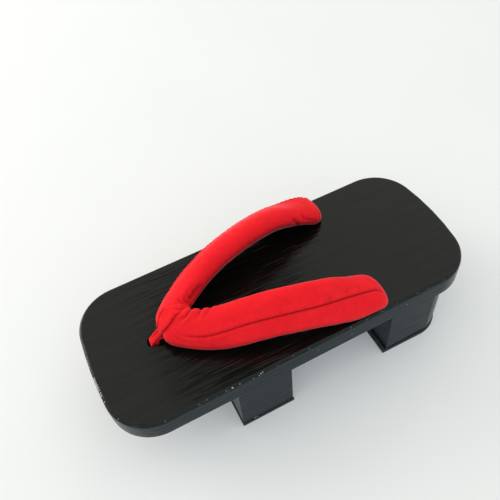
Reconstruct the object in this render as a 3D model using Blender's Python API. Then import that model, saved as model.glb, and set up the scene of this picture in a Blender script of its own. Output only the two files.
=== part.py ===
# A geta sandal: carved wooden base on two teeth, padded V strap held by a toe loop.
from math import atan2, ceil, cos, pi, radians, sin, sqrt

import bmesh
import bpy
from mathutils import Vector

# Sizes are in metres. The toe points to -Y, +X is the wearer's left, and the floor is z = 0.
SOLE_LENGTH = 0.230
SOLE_WIDTH = 0.094
SOLE_HEIGHT = 0.0547
BOARD_THICK = 0.0142
TREAD_THICK = 0.0020
TOE_CORNER = 0.0260
TOE_BOW = 0.277
HEEL_CORNER = 0.0265
HEEL_BOW = 0.160
TOP_ROUND = 0.0020
EDGE_ROUND = 0.0007
GAP = 0.0003

FRONT_TOOTH = (-0.2109 * SOLE_LENGTH, -0.0648 * SOLE_LENGTH)
REAR_TOOTH = (0.2283 * SOLE_LENGTH, 0.4304 * SOLE_LENGTH)
TOOTH_BACK_CORNER = 0.020
TREAD_LIP = 0.0006
REAR_TREAD_LIP = 0.0022

TOE_HOLE_Y = -0.3348 * SOLE_LENGTH
TOE_HOLE_RADIUS = 0.0038
REAR_HOLE_X = 0.3830 * SOLE_WIDTH
REAR_HOLE_Y = 0.1978 * SOLE_LENGTH
REAR_HOLE_RADIUS = 0.0046
CORD_RADIUS = 0.0038

STRAP_WIDTH = 0.0260
STRAP_THICK = 0.0150
STRAP_RISE = 0.0175
DIVE_RADIUS = 0.0070
LOOP_WIDTH = 0.0110
LOOP_NECK = 0.0047
LOOP_THICK = 0.0022
KNOT_RADIUS = 0.0066
KNOT_HEIGHT = 0.0085

# Resolution of the curved pieces.
ARC_STEP = radians(7.5)
RING_POINTS = 18
STEPS_PER_ROW = 6
ROUNDNESS = 0.85

BOARD_TOP = SOLE_HEIGHT
BOARD_UNDER = SOLE_HEIGHT - BOARD_THICK
HALF_WIDTH = SOLE_WIDTH / 2
HALF_LENGTH = SOLE_LENGTH / 2

# One row for each section of an arm, from its tip at the crossing to its heel end: place out
# from the middle and along the sole as shares of half its width and length, height of the
# centre above the board as a share of the rise, width and thickness as shares of the strap's
# own, and the tilt of its outer edge towards the board.
ARM_COLUMNS = ("out", "along", "up", "width", "thick", "tilt")
ARM_SECTIONS = (
    (-0.036, -0.592, 0.62, 0.36, 0.38, 48),
    (0.014, -0.575, 0.62, 0.72, 0.72, 48),
    (0.092, -0.547, 0.62, 0.85, 0.88, 48),
    (0.185, -0.500, 0.63, 0.88, 0.94, 49),
    (0.292, -0.437, 0.66, 0.92, 0.97, 50),
    (0.394, -0.364, 0.74, 0.95, 1.00, 49),
    (0.464, -0.287, 0.85, 0.98, 1.00, 49),
    (0.530, -0.200, 0.97, 1.00, 1.00, 48),
    (0.634, -0.037, 1.00, 1.02, 1.00, 46),
    (0.716, 0.120, 0.87, 1.02, 1.00, 42),
    (0.760, 0.250, 0.60, 0.98, 0.94, 27),
)
# The strap where the toe loop squeezes it: centre as shares along the sole and up, half the
# width and thickness as shares of the strap's own, and tilt.
WAIST = {"along": -0.540, "up": 0.62, "width": 0.63, "thick": 0.80, "tilt": 45}
DIVE_START = radians(28)
DIVE_SECTIONS = ((0.92, 0.86, 9), (0.86, 0.86, 2), (0.78, 0.86, 0))

MATERIALS = {
    "black_lacquered_wood": ((0.012, 0.013, 0.014), 0.32, 0.0),
    "red_velour": ((0.74, 0.014, 0.022), 0.85, 0.0),
    "black_rubber": ((0.018, 0.019, 0.020), 0.80, 0.0),
    "black_cotton": ((0.020, 0.018, 0.018), 0.90, 0.0),
}


def clear_scene():
    for item in list(bpy.data.objects):
        bpy.data.objects.remove(item, do_unlink=True)


def make_material(name):
    colour, roughness, metallic = MATERIALS[name]
    material = bpy.data.materials.new(name)
    material.use_nodes = True
    shader = material.node_tree.nodes["Principled BSDF"]
    shader.inputs["Base Color"].default_value = (*colour, 1.0)
    shader.inputs["Roughness"].default_value = roughness
    shader.inputs["Metallic"].default_value = metallic
    material.diffuse_color = (*colour, 1.0)
    return material


def make_object(name, bm, material=None, sharp=35):
    bmesh.ops.recalc_face_normals(bm, faces=bm.faces)
    mesh = bpy.data.meshes.new(name)
    bm.to_mesh(mesh)
    bm.free()
    if material:
        mesh.materials.append(material)
        mesh.shade_smooth()
        mesh.set_sharp_from_angle(angle=radians(sharp))
    item = bpy.data.objects.new(name, mesh)
    bpy.context.scene.collection.objects.link(item)
    return item


def bridge_rings(bm, rings, closed=False):
    """Joins point rings of one size into a skin, with a cap at each end unless it is closed."""
    loops = [[bm.verts.new(point) for point in ring] for ring in rings]
    count = len(loops[0])
    pairs = list(zip(loops, loops[1:]))
    if closed:
        pairs.append((loops[-1], loops[0]))
    for one, two in pairs:
        for k in range(count):
            j = (k + 1) % count
            bm.faces.new((one[k], one[j], two[j], two[k]))
    if not closed:
        bm.faces.new(loops[0][::-1])
        bm.faces.new(loops[-1])
    return bm


def arc(centre, radius, start, end):
    steps = max(2, ceil(abs(end - start) / ARC_STEP))
    angles = [start + (end - start) * k / steps for k in range(steps + 1)]
    return [(centre[0] + radius * cos(a), centre[1] + radius * sin(a)) for a in angles]


def end_outline(sign, corner, bow, inset):
    """The +X half of one end of the sole, from its middle to where the straight side starts."""
    middle = sign * (HALF_LENGTH - bow)
    reach = sqrt((bow - corner) ** 2 - (HALF_WIDTH - corner) ** 2)
    centre = (HALF_WIDTH - corner, middle + sign * reach)
    turn = atan2(centre[1] - middle, centre[0])
    flat = arc((0.0, middle), bow - inset, sign * pi / 2, turn)
    return flat + arc(centre, corner - inset, turn, 0.0)[1:]


def sole_outline(inset=0.0):
    toe = end_outline(-1, TOE_CORNER, TOE_BOW, inset)
    heel = end_outline(1, HEEL_CORNER, HEEL_BOW, inset)[::-1]
    half = toe + heel
    return half + [(-x, y) for x, y in half[-2:0:-1]]


def prism(outline, low, high):
    rings = [[(x, y, z) for x, y in outline] for z in (low, high)]
    return bridge_rings(bmesh.new(), rings)


def rounded_block(low, high, round_radius, steps=4):
    rings = [[(x, y, low) for x, y in sole_outline()]]
    for k in range(steps + 1):
        turn = pi / 2 * k / steps
        inset = round_radius * (1 - cos(turn))
        z = high - round_radius * (1 - sin(turn))
        rings.append([(x, y, z) for x, y in sole_outline(inset)])
    return bridge_rings(bmesh.new(), rings)


def tooth_back(grow=0.0):
    """The rear tooth's back seen from above, from its +X side round to its -X side."""
    corner = TOOTH_BACK_CORNER + grow
    reach = HALF_WIDTH + GAP + grow
    right = arc((reach - corner, REAR_TOOTH[1] + grow - corner), corner, 0.0, pi / 2)
    return right + [(-x, y) for x, y in right[::-1]]


def combine(target, cutter, operation="DIFFERENCE"):
    cutter.hide_render = True
    cutter.display_type = "WIRE"
    change = target.modifiers.new(cutter.name, "BOOLEAN")
    change.operation = operation
    change.solver = "EXACT"
    change.object = cutter


def make_base(material):
    """One block of the sole's outline, carved away below the board to leave the two teeth."""
    base = make_object("wooden_base", rounded_block(TREAD_THICK, BOARD_TOP, TOP_ROUND), material)
    wide = SOLE_WIDTH
    long = SOLE_LENGTH
    toe_gap = [(-wide, -long), (wide, -long), (wide, FRONT_TOOTH[0]), (-wide, FRONT_TOOTH[0])]
    middle_gap = [(-wide, FRONT_TOOTH[1]), (wide, FRONT_TOOTH[1]),
                  (wide, REAR_TOOTH[0]), (-wide, REAR_TOOTH[0])]
    back = tooth_back()
    heel_gap = [(wide, back[0][1]), (wide, long), (-wide, long), (-wide, back[-1][1])]
    heel_gap += back[::-1]
    for name, outline in (("toe_gap", toe_gap), ("middle_gap", middle_gap), ("heel_gap", heel_gap)):
        combine(base, make_object(name, prism(outline, -TREAD_THICK, BOARD_UNDER)))
    for name, x, y, radius in HOLES:
        hole = bmesh.new()
        bmesh.ops.create_cone(hole, cap_ends=True, segments=32, radius1=radius, radius2=radius,
                              depth=BOARD_THICK * 2)
        cutter = make_object(name, hole)
        cutter.location = (x, y, BOARD_TOP - BOARD_THICK / 2)
        combine(base, cutter)
    soften = base.modifiers.new("soft_edges", "BEVEL")
    soften.width = EDGE_ROUND
    soften.segments = 1
    soften.limit_method = "ANGLE"
    soften.angle_limit = radians(50)
    return base


def make_treads(material):
    """A thin rubber pad under each tooth, a little wider than the wood that it is glued to."""
    reach = HALF_WIDTH + TREAD_LIP
    low, high = FRONT_TOOTH[0] - TREAD_LIP, FRONT_TOOTH[1] + TREAD_LIP
    front = [(-reach, low), (reach, low), (reach, high), (-reach, high)]
    make_object("front_tread", prism(front, 0.0, TREAD_THICK), material)
    start = REAR_TOOTH[0] - REAR_TREAD_LIP
    rear = [(-reach, start), (reach, start)] + tooth_back(TREAD_LIP)
    make_object("rear_tread", prism(rear, 0.0, TREAD_THICK), material)


def arm_rows():
    """Arm sections in real sizes: centre, width, thickness and tilt."""
    rows = []
    for row in ARM_SECTIONS:
        part = dict(zip(ARM_COLUMNS, row))
        centre = Vector((part["out"] * HALF_WIDTH, part["along"] * HALF_LENGTH,
                         BOARD_TOP + part["up"] * STRAP_RISE))
        rows.append((centre, part["width"] * STRAP_WIDTH, part["thick"] * STRAP_THICK,
                     radians(part["tilt"])))
    width, thick, tilt = DIVE_SECTIONS[0]
    start = Vector((REAR_HOLE_X, REAR_HOLE_Y - DIVE_RADIUS * (1 - sin(DIVE_START)),
                    BOARD_TOP + GAP + DIVE_RADIUS * cos(DIVE_START)))
    rows.append((start, width * STRAP_WIDTH, thick * STRAP_THICK, radians(tilt)))
    return rows


def blend(before, one, two, after, share):
    """Catmull-Rom value between one and two."""
    slope_one = (two - before) / 2
    slope_two = (after - one) / 2
    s = share
    return (one * (2 * s ** 3 - 3 * s ** 2 + 1) + slope_one * (s ** 3 - 2 * s ** 2 + s)
            + two * (3 * s ** 2 - 2 * s ** 3) + slope_two * (s ** 3 - s ** 2))


def arm_stations():
    """Stations along one arm from the crossing to its heel end, spaced evenly between rows."""
    rows = arm_rows()
    first, last = rows[0], rows[-1]
    ahead = Vector((0.0, cos(DIVE_START), -sin(DIVE_START))) * (last[0] - rows[-2][0]).length
    behind = first[0] * 2 - rows[1][0]
    padded = [(behind, *first[1:]), *rows, (last[0] + ahead, *last[1:])]
    stations = []
    for k in range(1, len(padded) - 2):
        group = padded[k - 1:k + 3]
        for j in range(STEPS_PER_ROW):
            share = j / STEPS_PER_ROW
            stations.append(tuple(blend(*(row[c] for row in group), share) for c in range(4)))
    stations.append(last)
    return stations


def full(value, power=ROUNDNESS):
    """Swells a circle's sine or cosine into that of a fuller oval."""
    return abs(value) ** power * (1 if value >= 0 else -1)


def section(centre, forward, across, width, thick, tilt):
    """One ring of the padded tube: a full oval, tilted, and flat where it rests on the board."""
    up = across.cross(forward).normalized()
    wide = across * cos(tilt) - up * sin(tilt)
    deep = up * cos(tilt) + across * sin(tilt)
    ring = []
    for k in range(RING_POINTS):
        a = 2 * pi * k / RING_POINTS
        point = centre + wide * (full(cos(a)) * width / 2) + deep * (full(sin(a)) * thick / 2)
        point.z = max(point.z, BOARD_TOP + GAP)
        ring.append(point)
    return ring


def arm_rings():
    """Rings of the +X arm, from its tip, down at its heel end and through the rear hole."""
    stations = arm_stations()
    centres = [station[0] for station in stations]
    rings = []
    for k, (centre, width, thick, tilt) in enumerate(stations):
        if k == len(stations) - 1:
            forward = Vector((0.0, cos(DIVE_START), -sin(DIVE_START)))
        else:
            forward = (centres[k + 1] - centres[max(k - 1, 0)]).normalized()
        across = Vector((forward.y, -forward.x, 0.0)).normalized()
        rings.append(section(centre, forward, across, width, thick, tilt))
    pivot = Vector((REAR_HOLE_X, REAR_HOLE_Y - DIVE_RADIUS, BOARD_TOP + GAP))
    steps = 6
    for k in range(1, steps + 1):
        share = k / steps
        dive = DIVE_START + (pi / 2 - DIVE_START) * share
        out = Vector((0.0, sin(dive), cos(dive)))
        forward = Vector((0.0, cos(dive), -sin(dive)))
        width, thick, tilt = dive_section(share)
        rings.append(section(pivot + out * DIVE_RADIUS, forward, Vector((1.0, 0.0, 0.0)),
                             width * STRAP_WIDTH, thick * STRAP_THICK, radians(tilt)))
    for z in (BOARD_TOP + GAP, BOARD_UNDER - GAP):
        ring = []
        for k in range(RING_POINTS):
            a = 2 * pi * k / RING_POINTS
            ring.append(Vector((REAR_HOLE_X + CORD_RADIUS * cos(a),
                                REAR_HOLE_Y + CORD_RADIUS * sin(a), z)))
        rings.append(ring)
    return rings


def dive_section(share):
    place = share * (len(DIVE_SECTIONS) - 1)
    k = min(int(place), len(DIVE_SECTIONS) - 2)
    rest = place - k
    return [a + (b - a) * rest for a, b in zip(DIVE_SECTIONS[k], DIVE_SECTIONS[k + 1])]


def make_strap(material):
    """Two padded arms joined where they cross, with a groove that the toe loop has drawn in."""
    left_arm = arm_rings()
    right_arm = [[Vector((-p.x, p.y, p.z)) for p in ring] for ring in left_arm]
    strap = make_object("padded_strap", bridge_rings(bmesh.new(), left_arm), material, 60)
    combine(strap, make_object("right_arm", bridge_rings(bmesh.new(), right_arm)), "UNION")
    combine(strap, make_object("loop_groove", loop_solid(GAP)))


def crossing():
    """The strap's section where the loop holds it, as an oval in the upright plane x = 0."""
    centre = Vector((0.0, WAIST["along"] * HALF_LENGTH, BOARD_TOP + WAIST["up"] * STRAP_RISE))
    tilt = radians(WAIST["tilt"])
    wide = Vector((0.0, -cos(tilt), -sin(tilt)))
    deep = Vector((0.0, -sin(tilt), cos(tilt)))
    half_width = WAIST["width"] * STRAP_WIDTH / 2
    half_thick = WAIST["thick"] * STRAP_THICK / 2
    return centre, half_width, half_thick, wide, deep


def loop_path():
    """The toe loop's route: up from the hole, over the crossing, back under it and down again."""
    centre, half_width, half_thick, wide, deep = crossing()
    clear = LOOP_THICK / 2 + GAP * 2
    bottom = BOARD_UNDER - GAP
    pitch = LOOP_THICK / 2 + GAP
    front, rear = TOE_HOLE_Y - pitch, TOE_HOLE_Y + pitch
    rise = Vector((0.0, front, BOARD_TOP + LOOP_THICK / 3))
    neck = BOARD_TOP - LOOP_THICK * 1.5
    rim = TOE_HOLE_Y + TOE_HOLE_RADIUS
    falls = ((rim, 1.4), ((rim * 0.35 + rear * 0.65), 0.8), (rear, -0.7))
    route = [(Vector((0.0, front, bottom)), 0.0), (Vector((0.0, front, neck)), 0.0),
             (rise, 0.05)]
    turns = 22
    start, end = radians(26), radians(332)
    for k in range(turns + 1):
        share = k / turns
        a = start + (end - start) * share
        spot = centre + wide * (half_width + clear) * full(cos(a))
        spot += deep * (half_thick + clear) * full(sin(a))
        spot.z = max(spot.z, BOARD_TOP + clear)
        route.append((spot, max(0.0, sin(a)) ** 2.5))
    route += [(Vector((0.0, y, BOARD_TOP + lift * clear)), 0.0) for y, lift in falls]
    route += [(Vector((0.0, rear, z)), 0.0) for z in (neck, bottom)]
    return route


def loop_solid(grow=0.0):
    """A narrow tube of cloth, wide over the crossing and drawn in where it enters the hole."""
    route = loop_path()
    thick = LOOP_THICK / 2 + grow
    rings = []
    for k, (spot, spread) in enumerate(route):
        before = route[max(k - 1, 0)][0]
        after = route[min(k + 1, len(route) - 1)][0]
        forward = (after - before).normalized()
        across = Vector((1.0, 0.0, 0.0))
        out = across.cross(forward)
        half = (LOOP_NECK + (LOOP_WIDTH - LOOP_NECK) * spread) / 2 + grow
        ring = []
        for j in range(RING_POINTS):
            a = 2 * pi * j / RING_POINTS
            ring.append(spot + across * (full(cos(a), 0.6) * half) + out * (sin(a) * thick))
        rings.append(ring)
    return bridge_rings(bmesh.new(), rings)


def make_knot(name, x, y, material):
    """The tied end under a hole, a squat lump drawn up against the board."""
    top = BOARD_UNDER - GAP * 2
    steps = 8
    rings = []
    for k in range(steps + 1):
        turn = pi * (0.12 + 0.84 * k / steps)
        radius = KNOT_RADIUS * sin(turn)
        z = top - KNOT_HEIGHT / 2 * (cos(pi * 0.12) - cos(turn))
        rings.append([(x + radius * cos(2 * pi * j / RING_POINTS),
                       y + radius * sin(2 * pi * j / RING_POINTS), z)
                      for j in range(RING_POINTS)])
    make_object(name, bridge_rings(bmesh.new(), rings), material, 60)


HOLES = (
    ("toe_hole", 0.0, TOE_HOLE_Y, TOE_HOLE_RADIUS),
    ("rear_hole_left", REAR_HOLE_X, REAR_HOLE_Y, REAR_HOLE_RADIUS),
    ("rear_hole_right", -REAR_HOLE_X, REAR_HOLE_Y, REAR_HOLE_RADIUS),
)


def main():
    clear_scene()
    finish = {name: make_material(name) for name in MATERIALS}
    make_base(finish["black_lacquered_wood"])
    make_treads(finish["black_rubber"])
    make_strap(finish["red_velour"])
    make_object("toe_loop", loop_solid(), finish["red_velour"], 60)
    for name, x, y, _ in HOLES:
        make_knot(name.replace("hole", "knot"), x, y, finish["black_cotton"])


main()
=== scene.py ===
from math import cos, exp, pi, radians, sin

import bmesh
import bpy
from mathutils import Matrix, Vector, noise
from mathutils.bvhtree import BVHTree
from mathutils.kdtree import KDTree


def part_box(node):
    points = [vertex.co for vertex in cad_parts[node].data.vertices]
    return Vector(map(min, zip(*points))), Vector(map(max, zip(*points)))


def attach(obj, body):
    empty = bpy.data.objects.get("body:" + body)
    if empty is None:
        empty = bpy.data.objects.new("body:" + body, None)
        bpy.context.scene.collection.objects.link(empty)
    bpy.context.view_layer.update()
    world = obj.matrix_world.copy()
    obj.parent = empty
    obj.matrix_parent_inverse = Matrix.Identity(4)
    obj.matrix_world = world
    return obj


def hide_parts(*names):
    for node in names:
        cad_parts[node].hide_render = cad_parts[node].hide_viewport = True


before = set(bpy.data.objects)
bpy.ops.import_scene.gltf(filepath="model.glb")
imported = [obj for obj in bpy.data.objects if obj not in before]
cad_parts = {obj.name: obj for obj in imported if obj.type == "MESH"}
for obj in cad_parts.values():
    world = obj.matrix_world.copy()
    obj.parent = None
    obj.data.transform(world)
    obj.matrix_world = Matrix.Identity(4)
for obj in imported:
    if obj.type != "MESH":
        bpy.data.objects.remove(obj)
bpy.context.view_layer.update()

# A geta sandal, toe to -Y, +X to the wearer's left. Lengths are metres, and mm turns millimetres into them.
mm = 0.001
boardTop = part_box("wooden_base")[1].z
mergeGap = 0.01 * mm


class Wire:
    # one socket of a material, so that shader sums read as plain sums
    def __init__(self, sheet, socket):
        self.sheet = sheet
        self.socket = socket

    def __add__(self, other):
        return self.sheet.maths("ADD", self, other)

    def __sub__(self, other):
        return self.sheet.maths("SUBTRACT", self, other)

    def __mul__(self, other):
        return self.sheet.maths("MULTIPLY", self, other)

    def __rsub__(self, other):
        return self.sheet.maths("SUBTRACT", other, self)

    __radd__ = __add__
    __rmul__ = __mul__

    def between(self, low, high, start=0.0, end=1.0):
        # a smooth step from start to end while the value goes from low to high
        ends = {"Value": self, "From Min": low, "From Max": high, "To Min": start, "To Max": end}
        return self.sheet.node("MapRange", {"interpolation_type": "SMOOTHSTEP"}, ends)


class Sheet:
    # the nodes of one material, or of the sky
    def __init__(self, owner, shader="Principled BSDF"):
        owner.use_nodes = True
        self.owner = owner
        self.tree = owner.node_tree
        self.shader = self.tree.nodes[shader]

    def node(self, kind, settings=None, values=None, output=0):
        made = self.tree.nodes.new("ShaderNode" + kind)
        for name, setting in (settings or {}).items():
            setattr(made, name, setting)
        self.fill(made, values or {})
        return Wire(self, made.outputs[output])

    def fill(self, made, values):
        for name, value in values.items():
            if isinstance(value, Wire):
                self.tree.links.new(value.socket, made.inputs[name])
            else:
                made.inputs[name].default_value = value

    def maths(self, operation, one, two):
        return self.node("Math", {"operation": operation}, {0: one, 1: two})

    def place(self):
        return self.node("TexCoord", output="Object")

    def stretched(self, scale):
        return self.node("Mapping", values={"Vector": self.place(), "Scale": scale})

    def noise(self, vector, scale=1.0, detail=3.0, rough=0.5):
        values = {"Vector": vector, "Scale": scale, "Detail": detail, "Roughness": rough}
        return self.node("TexNoise", values=values)

    def height(self):
        return self.node("SeparateXYZ", values={0: self.place()}, output="Z")

    def away(self, vector, spot):
        return self.node("VectorMath", {"operation": "DISTANCE"}, {0: vector, 1: spot}, output="Value")

    def mix(self, share, one, two):
        # colours as (red, green, blue)
        one, two = [c if isinstance(c, Wire) else (*c, 1.0) for c in (one, two)]
        return self.node("Mix", {"data_type": "RGBA"}, {0: share, 6: one, 7: two}, output=2)

    def bump(self, height, depth, strength=1.0, under=None):
        values = {"Height": height, "Distance": depth, "Strength": strength}
        if under:
            values["Normal"] = under
        return self.node("Bump", values=values)

    def finish(self, **values):
        self.fill(self.shader, socketNames(values))
        return self.owner

    def fadeInto(self, share, **values):
        # where the share is 1, a second shader with its own values takes over
        other = self.node("BsdfPrincipled", values=socketNames(values))
        both = self.node("MixShader", values={0: share, 1: Wire(self, self.shader.outputs[0]), 2: other})
        self.tree.links.new(both.socket, self.tree.nodes["Material Output"].inputs[0])


def socketNames(values):
    # Base_Color becomes the socket's own name, Base Color
    return {name.replace("_", " "): value for name, value in values.items()}


def materialSheet(name):
    return Sheet(bpy.data.materials.new(name))


def mergedCopy(node):
    bm = bmesh.new()
    bm.from_mesh(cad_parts[node].data)
    bmesh.ops.remove_doubles(bm, verts=bm.verts, dist=mergeGap)
    return bm


def dissolveFlats(bm):
    # joins the triangles of each flat face
    bmesh.ops.dissolve_limit(bm, angle_limit=radians(0.5), verts=bm.verts, edges=bm.edges)


def newPiece(name, bm, material, sharp=None):
    mesh = bpy.data.meshes.new(name)
    bm.to_mesh(mesh)
    bm.free()
    mesh.materials.append(material)
    mesh.shade_smooth()
    if sharp:
        mesh.set_sharp_from_angle(angle=radians(sharp))
    piece = bpy.data.objects.new(name, mesh)
    bpy.context.scene.collection.objects.link(piece)
    return piece


def settle(piece):
    # makes what the modifiers give the piece's own mesh
    depsgraph = bpy.context.evaluated_depsgraph_get()
    result = bpy.data.meshes.new_from_object(piece.evaluated_get(depsgraph))
    piece.modifiers.clear()
    piece.data = result
    result.shade_smooth()


def remesh(piece, voxel):
    change = piece.modifiers.new("even", "REMESH")
    change.mode = "VOXEL"
    change.voxel_size = voxel
    settle(piece)


def subdivide(piece, levels=1):
    change = piece.modifiers.new("finer", "SUBSURF")
    change.levels = levels
    change.render_levels = levels
    settle(piece)


def smooth(piece, factor, repeats):
    bm = bmesh.new()
    bm.from_mesh(piece.data)
    for _ in range(repeats):
        bmesh.ops.smooth_vert(bm, verts=bm.verts, factor=factor, use_axis_x=True, use_axis_y=True,
                              use_axis_z=True)
    bm.to_mesh(piece.data)
    bm.free()


def hand(piece, slotName, *nodes):
    # every piece rides on the shoe's one body and stands for its plain solids
    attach(piece, "root")
    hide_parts(*nodes)


def bell(distance, width):
    # 1 at the line, dying away over the width
    return exp(-(distance / width) ** 2)


def curved(points, spacing=0.4 * mm):
    # a smooth line through given points, in even small steps
    ends = [points[0] * 2 - points[1], *points, points[-1] * 2 - points[-2]]
    line = []
    for before, one, two, after in zip(ends, ends[1:], ends[2:], ends[3:]):
        steps = max(1, round((two - one).length / spacing))
        for k in range(steps):
            s = k / steps
            line.append(one * (2 * s ** 3 - 3 * s ** 2 + 1) + (two - before) / 2 * (s ** 3 - 2 * s ** 2 + s)
                        + two * (3 * s ** 2 - 2 * s ** 3) + (after - one) / 2 * (s ** 3 - s ** 2))
    line.append(points[-1])
    return line


foldShape = {  # widths in half widths of the fold, fades as shares of its length, and its shade is painted shade in the trough
    "reach": 4.0, "rimAt": 2.2, "rimShare": 0.28, "startDepth": 0.3, "fadeIn": 0.25, "fadeOut": 0.35,
    "shadeWidth": 0.75, "shadePerMm": 0.5, "shadeMost": 0.6,
}


class Fabric:
    # a soft piece's vertices, how far each is pushed out along its normal, and how dark each is painted, for
    # painted shade and the seam's line
    def __init__(self, piece):
        self.mesh = piece.data
        self.push = [0.0] * len(self.mesh.vertices)
        self.dark = [0.0] * len(self.mesh.vertices)
        self.tree = KDTree(len(self.mesh.vertices))
        for vertex in self.mesh.vertices:
            self.tree.insert(vertex.co, vertex.index)
        self.tree.balance()

    def near(self, line, reach):
        # each vertex near a line, with its distance from it and the share of the line that is nearest
        found = {}
        for k, spot in enumerate(line):
            for _, index, distance in self.tree.find_range(spot, reach):
                if distance < found.get(index, (reach, 0.0))[0]:
                    found[index] = (distance, k / (len(line) - 1))
        return found.items()

    def fold(self, halfWidth, depth, route):
        # a soft trough with raised sides, or a ridge where the depth is below zero, all in mm
        half = halfWidth * mm
        line = curved([Vector(spot) * mm for spot in route])
        for index, (distance, share) in self.near(line, foldShape["reach"] * half):
            opening = share / foldShape["fadeIn"] + foldShape["startDepth"]
            fade = min(1.0, opening, (1 - share) / foldShape["fadeOut"])
            rim = foldShape["rimShare"] * bell(distance - foldShape["rimAt"] * half, half)
            self.push[index] += depth * mm * (rim - bell(distance, half)) * fade
            # painted shade: the trough of a fold is painted darker
            if depth > 0:
                shade = min(foldShape["shadeMost"], depth * foldShape["shadePerMm"])
                self.darken(index, shade * bell(distance, foldShape["shadeWidth"] * half) * fade)

    def darken(self, index, shade):
        self.dark[index] = max(self.dark[index], shade)

    def onSurface(self, route, side, drop):
        # a seam's given points, mirrored to its side, lowered toward the heel and set on the fabric
        surface = BVHTree.FromPolygons([vertex.co for vertex in self.mesh.vertices],
                                       [face.vertices for face in self.mesh.polygons])
        first, last = seam["dropOver"]
        spots = []
        for x, y, z in route:
            share = min(1.0, max(0.0, (y - first) / (last - first)))
            lower = Vector((side * 0.5, 0.0, -1.0)) * drop * share
            spots.append(surface.find_nearest(Vector((x * side, y, z)) * mm + lower)[0])
        return spots

    def seam(self, route, side, drop=0.0):
        # a stitched line that draws the fabric in, with small puckers on both sides
        line = curved(self.onSurface(route, side, drop))
        length = sum((b - a).length for a, b in zip(line, line[1:]))
        half = seam["half"]
        for index, (distance, share) in self.near(line, seam["reach"]):
            fade = min(1.0, share / seam["fadeIn"], (1 - share) / seam["fadeOut"])
            trough = bell(distance, half)
            rim = bell(distance - seam["rimAt"] * half, seam["rimWidth"] * half)
            sway = seam["sway"] * noise.noise(self.mesh.vertices[index].co * seam["swaySize"])
            pucker = cos(2 * pi * share * length / seam["puckerPitch"] + sway)
            pucker *= bell(distance, seam["puckerReach"]) * (1 - trough)
            self.push[index] += (seam["rim"] * rim + seam["pucker"] * pucker - seam["depth"] * trough) * fade
            # the seam's own dark line, partly painted shade in its groove
            shade = seam["shadeToe"] + seam["shadeMore"] * min(1.0, share / 0.5)  # full from halfway on
            self.darken(index, shade * bell(distance, seam["shadeWidth"] * half) * fade)

    def press(self, cloth):
        # moves the vertices, with slow waves and fine ripples that die out at the board
        normals = [vertex.normal.copy() for vertex in self.mesh.vertices]
        for vertex, normal, depth in zip(self.mesh.vertices, normals, self.push):
            spot = vertex.co
            calm = min(1.0, max(0.0, (spot.z - boardTop) / velour["calmHeight"]))
            swell = noise.noise(spot * cloth["waveSize"]) * cloth["wave"]
            swell += noise.noise(spot * cloth["rippleSize"]) * cloth["ripple"]
            vertex.co = spot + normal * (depth + swell * calm)
        # this attribute holds the painted shade of folds and of the side toward the board, and the seam's
        # dark line
        shade = self.mesh.attributes.new("paintedShadeAndSeam", "FLOAT", "POINT")
        for item, value, normal in zip(shade.data, self.dark, normals):
            # painted shade: more where the normal points down toward the board
            under = min(1.0, max(0.0, velour["underFrom"] - normal.z) / velour["underOver"])
            item.value = max(value, under * velour["underShade"])


# Camera: the photograph's own view, worked out from the sole's outline.
cameraView = {
    "place": (0.17723, -0.08190, 0.34102), "turn": 68.61, "tilt": 37.87, "roll": -7.17, "lens": 42.056,
}


def makeCamera():
    camera = bpy.data.objects.new("camera", bpy.data.cameras.new("camera"))
    bpy.context.scene.collection.objects.link(camera)
    bpy.context.scene.camera = camera
    camera.data.lens = cameraView["lens"]
    camera.data.clip_start = 0.01
    turn = Matrix.Rotation(radians(cameraView["turn"]), 4, "Z")
    tilt = Matrix.Rotation(radians(cameraView["tilt"]), 4, "X")
    roll = Matrix.Rotation(radians(cameraView["roll"]), 4, "Z")
    camera.matrix_world = Matrix.Translation(cameraView["place"]) @ turn @ tilt @ roll


print("camera")
makeCamera()

# Floor and light: a pale sheet under a soft sky, with a window low on the toe's far side.
studio = {
    "floor": 4.0, "floorColour": (0.765, 0.745, 0.755), "floorMottle": 0.985,
    "floorGlow": (0.95, 1.0, 1.0, 1.0), "glowStrength": 0.13,
    "overhead": (1.0, 1.01, 0.92), "overheadStrength": 1.04,
    "lowBand": (0.2, 0.75), "lowStrength": 0.73,  # how high the sky's low part reaches, 1 being overhead
    "nearBand": (-0.3, 0.7), "nearSide": (0.84, 0.95, 1.0), "nearExtra": 0.10,  # cooler toward +X
    "dimToward": (-0.465, 0.152, 0.872), "dimShare": 0.08,  # a dark patch that the board's middle mirrors
    "dimFrom": 0.12325, "dimTo": 0.1566,
    "windowSize": 0.8, "windowPower": 7.2, "windowColour": (1.0, 0.97, 0.91),
    "windowFrom": (-0.95, -0.90, 0.60), "windowTo": (0.0, 0.0, 0.03),
}


def makeSky():
    sky = Sheet(bpy.data.worlds.new("daylight"), "Background")
    toward = sky.node("TexCoord", output="Generated")
    height = sky.node("SeparateXYZ", values={0: toward}, output="Z")
    near = sky.node("SeparateXYZ", values={0: toward}, output="X").between(*studio["nearBand"])
    low = height.between(*studio["lowBand"], 1.0, 0.0)
    strength = studio["overheadStrength"] + low * (studio["lowStrength"] - studio["overheadStrength"])
    strength = strength + near * low * studio["nearExtra"]
    dim = sky.away(toward, studio["dimToward"])
    dim = dim.between(studio["dimFrom"], studio["dimTo"], studio["dimShare"], 1.0)
    tint = sky.mix(near, studio["overhead"], studio["nearSide"])
    bpy.context.scene.world = sky.finish(Color=tint, Strength=strength * dim)


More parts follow.
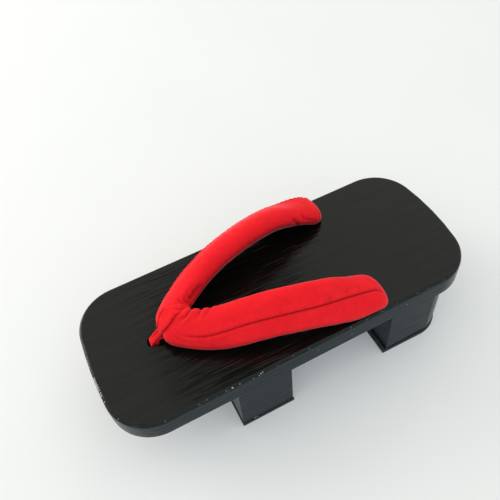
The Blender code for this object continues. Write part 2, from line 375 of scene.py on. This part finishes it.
def makeStudio():
    bm = bmesh.new()
    bmesh.ops.create_grid(bm, x_segments=2, y_segments=2, size=studio["floor"] / 2)
    sheet = materialSheet("paleFloor")
    mottle = sheet.noise(sheet.stretched((9.0, 9.0, 9.0)), detail=4.0)
    darker = [c * studio["floorMottle"] for c in studio["floorColour"]]
    tone = sheet.mix(mottle.between(0.3, 0.7), studio["floorColour"], darker)
    finish = sheet.finish(Base_Color=tone, Roughness=0.65, Emission_Color=studio["floorGlow"],
                          Emission_Strength=studio["glowStrength"])
    floor = newPiece("floor", bm, finish)
    lamp = bpy.data.lights.new("window", "AREA")
    lamp.size = studio["windowSize"]
    lamp.energy = studio["windowPower"]
    lamp.color = studio["windowColour"]
    window = bpy.data.objects.new("window", lamp)
    window.location = studio["windowFrom"]
    aim = Vector(studio["windowTo"]) - Vector(studio["windowFrom"])
    window.rotation_mode = "QUATERNION"
    window.rotation_quaternion = aim.to_track_quat("-Z", "Y")
    bpy.context.scene.collection.objects.link(window)
    bpy.context.scene.view_settings.view_transform = "Standard"


print("floor and light")
makeSky()
makeStudio()

# Black lacquer on straight-grained wood, with a painted bluish reflection on the sides.
lacquer = {
    "black": (0.0014, 0.0017, 0.0013), "worn": (0.0062, 0.0066, 0.0056), "bareWood": (0.42, 0.40, 0.35),
    # the sides' colours carry a painted bluish reflection of the floor and sky
    "sideBlackPaintedReflection": (0.0020, 0.0080, 0.0120), "sideWornPaintedReflection": (0.0055, 0.0140, 0.0190),
    "grainSize": (620.0, 16.0, 620.0), "grainDepth": 0.105 * mm, "swaySize": (30.0, 12.0, 30.0), "sway": 6.0,
    "broadSize": (170.0, 5.0, 170.0), "fineSize": (2600.0, 90.0, 2600.0), "poreSize": (800.0, 26.0, 800.0),
    "smudgeSize": (22.0, 22.0, 22.0), "raggedSize": (1500.0, 1500.0, 1500.0),
    "rubSize": (330.0, 330.0, 900.0), "gloss": 0.10, "topSpecular": 0.28,
    "sideDuller": 0.12, "sideSpecular": 0.10,
    "sidesFrom": (2.0 * mm, 0.8 * mm),  # the duller sides fade in between these depths below the top
    "edge": 0.3 * mm, "edgeAngle": 35, "sharpAngle": 50,
}
chips = (  # bare specks on the edges: place and radius in mm
    (46.4, -32.2, 54.1, 0.6), (46.6, -33.3, 53.8, 0.6), (46.8, -34.6, 53.3, 0.6), (46.9, -38.0, 53.3, 0.45),
    (46.5, -45.9, 54.0, 0.5), (46.6, -50.3, 53.9, 0.75), (47.0, -41.2, 2.7, 0.8), (47.0, -39.6, 2.6, 0.7),
    (47.0, 2.2, 48.2, 0.5), (47.0, 24.2, 46.8, 0.4), (47.0, 61.5, 48.5, 0.5), (-17.4, -112.8, 54.0, 0.5),
    (-7.2, -114.4, 54.0, 0.6), (-5.6, -114.5, 54.0, 0.6), (-3.0, -114.5, 54.0, 0.5), (5.0, -114.3, 54.1, 0.9),
    (6.4, -114.3, 54.1, 1.0), (8.0, -114.2, 54.1, 1.0), (9.7, -114.2, 54.1, 1.1), (11.3, -114.1, 54.1, 1.0),
    (12.9, -114.0, 54.1, 1.0), (15.0, -113.8, 54.2, 0.9), (16.6, -113.7, 54.2, 0.9),
    (20.8, -113.2, 54.2, 0.55), (33.2, -109.8, 54.2, 0.45), (39.3, -106.5, 48.5, 0.4),
)


def grainedSpace(sheet):
    # object space drawn out along the grain, with a slow sway from side to side
    sway = sheet.noise(sheet.stretched(lacquer["swaySize"]), detail=1.0) * lacquer["sway"]
    drift = sheet.node("CombineXYZ", values={"X": sway, "Y": 0.0, "Z": sway})
    values = {0: sheet.place(), 1: lacquer["grainSize"], 2: drift}
    return sheet.node("VectorMath", {"operation": "MULTIPLY_ADD"}, values)


def bareWood(sheet):
    # where the lacquer has gone: the marked chips, and small flecks along the top edge
    ragged = sheet.noise(sheet.stretched(lacquer["raggedSize"]), rough=0.7)
    place = sheet.place()
    chipped = None
    for x, y, z, radius in chips:
        spot = sheet.away(place, (x * mm, y * mm, z * mm)).between(radius * 0.45 * mm, radius * mm, 1.0, 0.0)
        chipped = spot if chipped is None else chipped + spot
    bare = (chipped + (ragged - 0.5) * 2.2).between(0.45, 0.90) * chipped.between(0.05, 0.3)
    height = sheet.height()
    rim = height.between(boardTop - 1.9 * mm, boardTop - 0.9 * mm)
    rim = rim * height.between(boardTop - 0.45 * mm, boardTop - 0.1 * mm, 1.0, 0.0)
    rubbed = sheet.noise(sheet.stretched(lacquer["rubSize"]), detail=4.0, rough=0.65)
    return bare, rim * rubbed.between(0.57, 0.74)


def lacquerMaterial():
    sheet = materialSheet("blackLacquer")
    streaks = sheet.noise(grainedSpace(sheet), detail=2.0)
    broad = sheet.noise(sheet.stretched(lacquer["broadSize"]), detail=1.0)
    fine = sheet.noise(sheet.stretched(lacquer["fineSize"]), detail=2.0)
    pores = sheet.noise(sheet.stretched(lacquer["poreSize"]), detail=1.0).between(0.60, 0.72)
    smudge = sheet.noise(sheet.stretched(lacquer["smudgeSize"]))
    ridges = streaks.between(0.36, 0.66)
    bare, rubbed = bareWood(sheet)
    tone = sheet.mix(ridges * 0.6 + smudge * 0.4, lacquer["black"], lacquer["worn"])
    tone = sheet.mix(bare + rubbed * 0.25, tone, lacquer["bareWood"])
    # painted reflection: the sides' black is tinted blue
    sidePaintedReflectionTone = sheet.mix(ridges * 0.5 + smudge * 0.5, lacquer["sideBlackPaintedReflection"], lacquer["sideWornPaintedReflection"])
    sidePaintedReflectionTone = sheet.mix(bare + rubbed * 0.25, sidePaintedReflectionTone, lacquer["bareWood"])
    gloss = lacquer["gloss"] + ridges * 0.03 + smudge.between(0.35, 0.7) * 0.04 + bare * 0.4 + rubbed * 0.2
    relief = ridges * 0.5 + broad * 0.8 + fine * 0.02 - pores * 0.5 - bare * 0.9
    grain = sheet.bump(relief, lacquer["grainDepth"])
    full, none = [boardTop - depth for depth in lacquer["sidesFrom"]]
    sheet.fadeInto(sheet.height().between(full, none, 1.0, 0.0), Base_Color=sidePaintedReflectionTone, Normal=grain,
                   Roughness=gloss + lacquer["sideDuller"], Specular_IOR_Level=lacquer["sideSpecular"])
    return sheet.finish(Base_Color=tone, Roughness=gloss, Normal=grain,
                        Specular_IOR_Level=lacquer["topSpecular"])


def makeBase():
    bm = mergedCopy("wooden_base")
    dissolveFlats(bm)
    bmesh.ops.recalc_face_normals(bm, faces=bm.faces)
    base = newPiece("carvedBase", bm, lacquerMaterial(), sharp=lacquer["sharpAngle"])
    bevel = base.modifiers.new("wornEdges", "BEVEL")
    bevel.width = lacquer["edge"]
    bevel.segments = 2
    bevel.limit_method = "ANGLE"
    bevel.angle_limit = radians(lacquer["edgeAngle"])
    base.modifiers.new("flatFaces", "WEIGHTED_NORMAL").keep_sharp = True
    hand(base, "lacquered_wood", "wooden_base")


print("base")
makeBase()

# Red velour: a short soft nap, paler where it is seen edge on.
velour = {
    # the darkest colour is painted shade in folds and underneath, and the seam's line
    "red": (1.0, 0.014, 0.024), "deep": (0.80, 0.005, 0.011), "paintedShadeAndSeamColour": (0.16, 0.002, 0.004),
    "napSize": 2300.0, "napDepth": 0.12 * mm, "brushSize": 260.0, "brushDepth": 0.12 * mm, "patchSize": 70.0,
    "sheen": 0.68, "sheenRoughness": 0.28, "sheenTint": (1.0, 0.37, 0.42, 1.0),
    "underShade": 0.85, "underFrom": 0.25, "underOver": 0.7,  # painted shade: the side that lies toward the board is painted darker
    "calmHeight": 3.0 * mm,  # its waves die out over this last height above the board
}


def velourMaterial():
    sheet = materialSheet("redVelour")
    nap = sheet.noise(sheet.place(), scale=velour["napSize"], detail=3.0, rough=0.6)
    brushed = sheet.noise(sheet.place(), scale=velour["brushSize"], detail=5.0, rough=0.72)
    patches = sheet.noise(sheet.place(), scale=velour["patchSize"], detail=2.0)
    # painted shade in folds and underneath, and the seam's dark line, come from this attribute
    paintedShadeAndSeam = sheet.node("Attribute", {"attribute_name": "paintedShadeAndSeam"}, output="Fac")
    worn = (nap * 0.4 + brushed * 0.35 + patches * 0.25).between(0.28, 0.72)
    tone = sheet.mix(paintedShadeAndSeam, sheet.mix(worn, velour["deep"], velour["red"]), velour["paintedShadeAndSeamColour"])
    relief = sheet.bump(nap, velour["napDepth"], 0.7, under=sheet.bump(brushed, velour["brushDepth"], 0.5))
    return sheet.finish(Base_Color=tone, Roughness=0.86 + nap * 0.1, Normal=relief, Specular_IOR_Level=0.22,
                        Sheen_Weight=velour["sheen"], Sheen_Roughness=velour["sheenRoughness"],
                        Sheen_Tint=velour["sheenTint"])


redVelour = velourMaterial()

# Padded strap: stuffed, then drawn in along its seam and folded at the crossing and the heel ends.
strap = {
    "simVoxel": 1.7 * mm, "voxel": 1.05 * mm, "steps": 20, "pressure": 4.0, "mass": 0.05,
    "swell": 0.6 * mm,  # the most that the stuffing may move the fabric
    "holdHeight": 1.5 * mm, "holdAround": 2.0 * mm,  # held this far above the board and around the loop
    "wave": 0.22 * mm, "waveSize": 115.0, "ripple": 0.06 * mm, "rippleSize": 380.0,
    "gap": 0.2 * mm,
}
seam = {
    "half": 0.7 * mm, "depth": 0.9 * mm, "reach": 5.0 * mm, "fadeIn": 0.12, "fadeOut": 0.03,
    "rim": 0.24 * mm, "rimAt": 2.6, "rimWidth": 1.6,  # the last two in half widths
    "pucker": 0.24 * mm, "puckerPitch": 3.3 * mm, "puckerReach": 2.4 * mm, "sway": 2.0, "swaySize": 160.0,
    "shadeWidth": 0.75, "shadeToe": 0.55, "shadeMore": 0.3,
    "farDrop": 6.0 * mm, "dropOver": (-40.0, 0.0),  # the -X arm's seam goes lower between these places in mm
    "route": (  # along the outer side of the +X arm, from the crossing to the heel end, in mm
        (9.6, -65.4, 69.4), (14.0, -61.6, 68.6), (17.1, -57.7, 68.8), (21.0, -51.4, 69.9),
        (25.4, -40.0, 73.3), (28.8, -28.3, 76.0), (31.9, -18.5, 77.1), (35.7, -2.8, 77.1),
        (37.4, 6.0, 76.3), (38.6, 16.0, 75.2), (38.8, 25.1, 73.0), (38.7, 33.5, 70.2),
        (38.8, 40.0, 68.1), (39.2, 44.0, 66.4), (41.6, 46.7, 64.0),
    ),
}
strapFolds = (  # half width and depth in mm, then the route in mm; a depth below zero is a ridge
    (2.3, 1.3, ((8.6, -40.0, 73.0), (6.4, -44.6, 73.0), (4.2, -48.6, 72.6), (2.0, -51.4, 72.0),
                (0.0, -52.6, 71.6))),
    (2.3, 1.3, ((-8.6, -40.0, 73.0), (-6.4, -44.6, 73.0), (-4.2, -48.6, 72.6), (-2.0, -51.4, 72.0),
                (0.0, -52.6, 71.6))),
    (0.9, 1.2, ((1.6, -50.4, 70.5), (3.4, -52.0, 74.4), (4.9, -53.2, 75.6), (6.0, -54.6, 75.9),
                (7.3, -57.6, 75.2), (7.9, -62.0, 72.8))),
    (1.0, -0.5, ((7.0, -51.4, 76.2), (8.6, -54.6, 76.0), (9.4, -58.6, 74.4), (9.6, -62.0, 72.4))),
    (1.0, 0.9, ((4.6, -46.0, 71.5), (6.9, -47.4, 75.2), (8.9, -48.8, 76.7), (10.6, -50.8, 76.6),
                (12.0, -53.4, 75.2))),
    (0.9, 0.6, ((6.0, -41.0, 71.5), (8.0, -42.3, 75.2), (10.6, -43.9, 77.2), (12.3, -46.2, 77.4),
                (14.5, -49.4, 76.2))),
    (0.8, 0.5, ((6.3, -57.0, 75.5), (6.2, -60.0, 74.8), (5.9, -63.4, 73.2))),
    (0.9, 0.3, ((10.5, -66.4, 67.6), (14.4, -63.7, 65.9), (19.0, -58.8, 64.8))),
    (0.9, 1.4, ((-0.8, -50.6, 70.0), (-1.5, -51.6, 72.6), (-2.6, -52.8, 74.6), (-6.2, -51.6, 76.0))),
    (0.9, 1.1, ((-2.4, -49.0, 70.6), (-3.0, -49.8, 72.8), (-4.2, -49.8, 75.0), (-8.0, -48.4, 76.8))),
    (0.8, 0.8, ((-1.4, -54.0, 73.6), (-2.4, -55.6, 74.9), (-6.0, -56.0, 75.6))),
    (0.9, 0.5, ((-4.8, -46.2, 73.4), (-6.4, -46.8, 75.6), (-9.6, -46.6, 77.2))),
    (1.8, 0.4, ((36.2, 13.6, 77.2), (37.2, 16.8, 76.4))),
    (1.9, 0.4, ((35.6, 24.6, 75.0), (37.2, 27.6, 73.6))),
    (1.8, 0.35, ((34.8, 33.0, 72.6), (36.6, 35.4, 71.2))),
    (1.0, 0.6, ((-28.4, 47.9, 63.8), (-25.8, 46.5, 62.2), (-25.2, 46.0, 60.0))),
    (0.8, 0.8, ((-26.6, 34.7, 71.4), (-25.0, 34.3, 69.4), (-24.1, 33.8, 66.8))),
    (0.8, 0.7, ((-24.6, 35.0, 68.4), (-24.2, 38.8, 65.2), (-24.3, 42.5, 63.2))),
    (1.2, 1.1, ((-25.2, 26.4, 72.8), (-23.7, 28.7, 69.6), (-24.0, 30.2, 66.6), (-24.9, 31.0, 63.8))),
    (1.4, 0.5, ((39.4, 45.4, 65.9), (40.3, 46.7, 64.7), (41.0, 47.8, 63.6))),
)


def stuff(piece):
    # a short cloth run blows the fabric out a little, held at the crossing and at the heel ends
    loopLow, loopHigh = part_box("toe_loop")
    around = strap["holdAround"]
    held = piece.vertex_groups.new(name="held")
    start = [vertex.co.copy() for vertex in piece.data.vertices]
    for index, spot in enumerate(start):
        nearLoop = loopLow.x - around < spot.x < loopHigh.x + around and spot.y < loopHigh.y + around
        if spot.z < boardTop + strap["holdHeight"] or nearLoop:
            held.add([index], 1.0, "REPLACE")
    cloth = piece.modifiers.new("stuffing", "CLOTH")
    cloth.settings.vertex_group_mass = "held"
    cloth.settings.mass = strap["mass"]
    cloth.settings.use_pressure = True
    cloth.settings.uniform_pressure_force = strap["pressure"]
    cloth.settings.effector_weights.gravity = 0.0
    cloth.point_cache.frame_start = 1
    cloth.point_cache.frame_end = strap["steps"]
    for step in range(1, strap["steps"] + 1):
        bpy.context.scene.frame_set(step)
    settle(piece)
    bpy.context.scene.frame_set(1)
    most = 0.0
    for vertex, spot in zip(piece.data.vertices, start):
        move = vertex.co - spot
        most = max(most, move.length)
        if move.length > strap["swell"]:
            vertex.co = spot + move.normalized() * strap["swell"]
    print("  stuffing moved the cloth by up to", round(most / mm, 2), "mm before its cap")


def keepClear(piece, nodes, gap, reach=4.0 * mm, rounds=2):
    # moves the fabric out of its neighbours' solids
    for node in nodes:
        bm = mergedCopy(node)
        tree = BVHTree.FromBMesh(bm)
        for vertex in list(piece.data.vertices) * rounds:
            spot, normal, _, distance = tree.find_nearest(vertex.co, reach)
            if spot is not None and (distance < gap or (vertex.co - spot).dot(normal) < 0):
                vertex.co = spot + normal * gap
        bm.free()


def makeStrap():
    piece = newPiece("stuffedStrap", mergedCopy("padded_strap"), redVelour)
    remesh(piece, strap["simVoxel"])
    stuff(piece)
    subdivide(piece)
    remesh(piece, strap["voxel"])
    smooth(piece, 0.5, 2)
    subdivide(piece)
    fabric = Fabric(piece)
    fabric.seam(seam["route"], 1)
    fabric.seam(seam["route"], -1, seam["farDrop"])
    for halfWidth, depth, route in strapFolds:
        fabric.fold(halfWidth, depth, route)
    fabric.press(strap)
    smooth(piece, 0.4, 1)
    keepClear(piece, ["toe_loop", "wooden_base"], strap["gap"])
    hand(piece, "red_velour", "padded_strap")


print("strap")
makeStrap()

# Toe loop: a narrow tube of the same velour, drawn into two strands below and gathered where it crosses.
loop = {
    "voxel": 0.45 * mm,
    "wave": 0.10 * mm, "waveSize": 300.0, "ripple": 0.05 * mm, "rippleSize": 700.0,
}
loopFolds = (  # as strapFolds
    (0.75, 1.0, ((-2.4, -57.6, 76.0), (-4.2, -61.0, 75.6), (-4.4, -64.4, 74.4), (-3.2, -68.2, 71.7),
                 (-1.4, -69.8, 70.0), (-0.6, -71.3, 67.9))),
    (0.65, 1.1, ((-0.9, -70.6, 69.0), (-0.5, -72.2, 65.6), (-0.4, -73.2, 62.0), (-0.5, -75.4, 59.2),
                 (-0.6, -77.6, 57.0), (-0.6, -79.0, 54.0))),
    (0.6, 0.6, ((1.0, -54.4, 73.6), (1.6, -57.1, 75.1), (1.1, -59.4, 75.9), (0.0, -61.6, 75.9))),
    (0.6, 0.7, ((4.4, -55.6, 75.0), (4.2, -58.8, 75.5), (3.7, -61.3, 75.0), (2.8, -63.8, 74.6))),
    (0.7, 0.6, ((5.3, -59.4, 75.4), (4.9, -62.4, 74.4), (3.8, -65.4, 73.2))),
    (2.0, 0.8, ((-5.0, -53.2, 72.6), (0.0, -52.8, 72.6), (5.0, -53.2, 72.6))),
)


def makeLoop():
    piece = newPiece("toeLoop", mergedCopy("toe_loop"), redVelour)
    remesh(piece, loop["voxel"])
    smooth(piece, 0.5, 2)
    fabric = Fabric(piece)
    for halfWidth, depth, route in loopFolds:
        fabric.fold(halfWidth, depth, route)
    fabric.press(loop)
    subdivide(piece)
    hand(piece, "red_velour", "toe_loop")


print("toe loop")
makeLoop()

# Treads: thin rubber glued under the teeth, with dusty scuffs.
rubber = {
    "black": (0.024, 0.029, 0.032), "dust": (0.075, 0.076, 0.076), "gritSize": 900.0, "gritDepth": 0.12 * mm,
    "scuffSize": (160.0, 60.0, 300.0), "edge": 0.3 * mm, "sharpAngle": 40,
}


def rubberMaterial():
    sheet = materialSheet("blackRubber")
    grit = sheet.noise(sheet.place(), scale=rubber["gritSize"], detail=4.0, rough=0.65)
    scuff = sheet.noise(sheet.stretched(rubber["scuffSize"]), detail=4.0)
    tone = sheet.mix(scuff.between(0.5, 0.8) * 0.6, rubber["black"], rubber["dust"])
    relief = sheet.bump(grit, rubber["gritDepth"], 0.6)
    return sheet.finish(Base_Color=tone, Roughness=0.62 + grit * 0.3, Normal=relief)


def makeTreads():
    finish = rubberMaterial()
    for node, name in (("front_tread", "frontTread"), ("rear_tread", "rearTread")):
        bm = mergedCopy(node)
        dissolveFlats(bm)
        bmesh.ops.bevel(bm, geom=bm.edges, offset=rubber["edge"], affect="EDGES", segments=2, profile=0.5,
                        material=-1)
        hand(newPiece(name, bm, finish, sharp=rubber["sharpAngle"]), "black_rubber", node)


print("treads")
makeTreads()

# Knots: the cords' ends, tied under the board.
knot = {
    "cord": 1.45 * mm, "points": 96, "black": (0.020, 0.018, 0.018), "paler": 2.4,
    "weaveSize": 1800.0, "weaveDepth": 0.15 * mm, "sheen": 0.2,
}


def cottonMaterial():
    sheet = materialSheet("blackCotton")
    weave = sheet.noise(sheet.place(), scale=knot["weaveSize"])
    tone = sheet.mix(weave, knot["black"], [c * knot["paler"] for c in knot["black"]])
    relief = sheet.bump(weave, knot["weaveDepth"], 0.8)
    return sheet.finish(Base_Color=tone, Roughness=0.9, Normal=relief, Sheen_Weight=knot["sheen"])


def tiedCord(name, low, high):
    # a cord in an overhand knot that just fills the box
    middle = (low + high) / 2
    reach = (high.x - low.x) / 2 - knot["cord"]
    rise = (high.z - low.z) / 2 - knot["cord"]
    line = bpy.data.curves.new(name + "Line", "CURVE")
    line.dimensions = "3D"
    line.bevel_depth = knot["cord"]
    line.bevel_resolution = 3
    spline = line.splines.new("POLY")
    spline.points.add(knot["points"] - 1)
    spline.use_cyclic_u = True
    for k, point in enumerate(spline.points):
        a = 2 * pi * k / knot["points"]
        wide = (2 + cos(3 * a)) / 3 * reach
        point.co = (*(middle + Vector((wide * cos(2 * a), wide * sin(2 * a), rise * sin(3 * a)))), 1.0)
    cord = bpy.data.objects.new(name + "Line", line)
    bpy.context.scene.collection.objects.link(cord)
    depsgraph = bpy.context.evaluated_depsgraph_get()
    bm = bmesh.new()
    bm.from_mesh(bpy.data.meshes.new_from_object(cord.evaluated_get(depsgraph)))
    bpy.data.objects.remove(cord)
    bmesh.ops.remove_doubles(bm, verts=bm.verts, dist=mergeGap)
    bmesh.ops.recalc_face_normals(bm, faces=bm.faces)
    return bm


def makeKnots():
    finish = cottonMaterial()
    names = {"toe_knot": "toeKnot", "rear_knot_left": "rearKnotLeft", "rear_knot_right": "rearKnotRight"}
    for node, name in names.items():
        low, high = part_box(node)
        hand(newPiece(name, tiedCord(name, low, high), finish), "black_cotton", node)


print("knots")
makeKnots()
